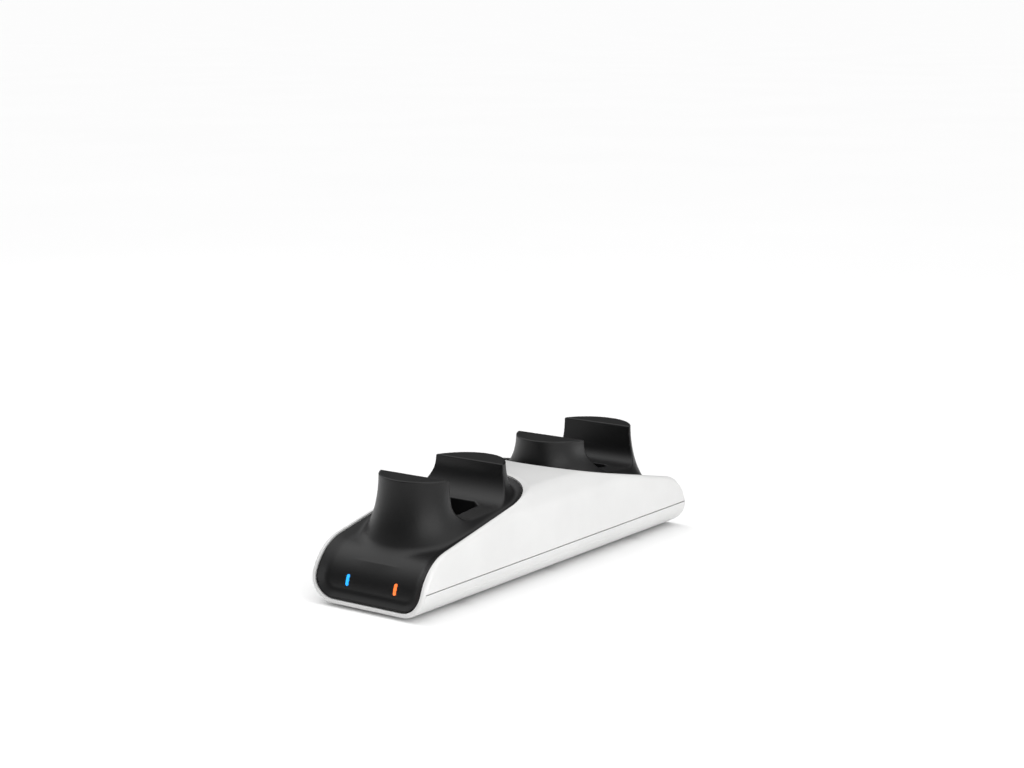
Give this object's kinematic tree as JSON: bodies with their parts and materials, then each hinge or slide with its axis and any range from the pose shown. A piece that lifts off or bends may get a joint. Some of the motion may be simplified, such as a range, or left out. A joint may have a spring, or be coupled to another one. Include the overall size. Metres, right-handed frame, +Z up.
{
  "type": "controller charging dock",
  "caption": "Low white two-bay charging dock with black cradles, each an oval tower parted by a rounded channel over a contact pocket, on rubber feet.",
  "frame": {"origin": "middle of the footprint, on the surface that the feet stand on", "axes": "+X to the right, +Y from the front bay to the rear bay, +Z up"},
  "size_m": [0.0574, 0.1946, 0.0499],
  "materials": {
    "white_shell": "satin white moulding with a very fine grain",
    "black_insert": "matte black moulding",
    "board": "green solder mask",
    "bright_metal": "drawn steel, plated",
    "inner_plastic": "dark moulded plastic",
    "lamp": "pale lamp body",
    "blue_light": "clear pipe, lit blue",
    "orange_light": "clear pipe, lit orange",
    "screw_steel": "plated steel",
    "chip": "moulded chip body",
    "ferrite": "moulded ferrite",
    "contact_gold": "turned and gold plated",
    "spring_steel": "drawn spring wire",
    "foot_rubber": "matte rubber pad"
  },
  "bodies": {
    "dock": {"upper_housing": "white_shell", "lower_housing": "white_shell", "front_cradle": "black_insert", "rear_cradle": "black_insert", "main_board": "board", "power_inlet_shell": "bright_metal", "power_inlet_core": "inner_plastic", "left_lamp": "lamp", "right_lamp": "lamp", "left_light_pipe": "blue_light", "right_light_pipe": "orange_light", "case_screws": "screw_steel", "board_screws": "screw_steel", "cradle_screws": "screw_steel", "front_contact_block": "inner_plastic", "front_charge_chip": "chip", "front_power_coil": "ferrite", "front_left_pin_barrel": "contact_gold", "front_left_pin_spring": "spring_steel", "front_left_foot": "foot_rubber", "front_right_pin_barrel": "contact_gold", "front_right_pin_spring": "spring_steel", "front_right_foot": "foot_rubber", "rear_contact_block": "inner_plastic", "rear_charge_chip": "chip", "rear_power_coil": "ferrite", "rear_left_pin_barrel": "contact_gold", "rear_left_pin_spring": "spring_steel", "rear_left_foot": "foot_rubber", "rear_right_pin_barrel": "contact_gold", "rear_right_pin_spring": "spring_steel", "rear_right_foot": "foot_rubber"},
    "front_left_pin": {"front_left_pin_plunger": "contact_gold"},
    "front_right_pin": {"front_right_pin_plunger": "contact_gold"},
    "rear_left_pin": {"rear_left_pin_plunger": "contact_gold"},
    "rear_right_pin": {"rear_right_pin_plunger": "contact_gold"}
  },
  "joints": [
    {"name": "front_left_pin_press", "type": "slide", "parent": "dock", "child": "front_left_pin", "axis": [0, 0, -1], "range_m": [0, 0.0012], "stiffness_N_per_m": 400, "springref_m": -0.001, "deforming": ["front_left_pin_spring"]},
    {"name": "front_right_pin_press", "type": "slide", "parent": "dock", "child": "front_right_pin", "axis": [0, 0, -1], "range_m": [0, 0.0012], "stiffness_N_per_m": 400, "springref_m": -0.001, "deforming": ["front_right_pin_spring"]},
    {"name": "rear_left_pin_press", "type": "slide", "parent": "dock", "child": "rear_left_pin", "axis": [0, 0, -1], "range_m": [0, 0.0012], "stiffness_N_per_m": 400, "springref_m": -0.001, "deforming": ["rear_left_pin_spring"]},
    {"name": "rear_right_pin_press", "type": "slide", "parent": "dock", "child": "rear_right_pin", "axis": [0, 0, -1], "range_m": [0, 0.0012], "stiffness_N_per_m": 400, "springref_m": -0.001, "deforming": ["rear_right_pin_spring"]}
  ]
}
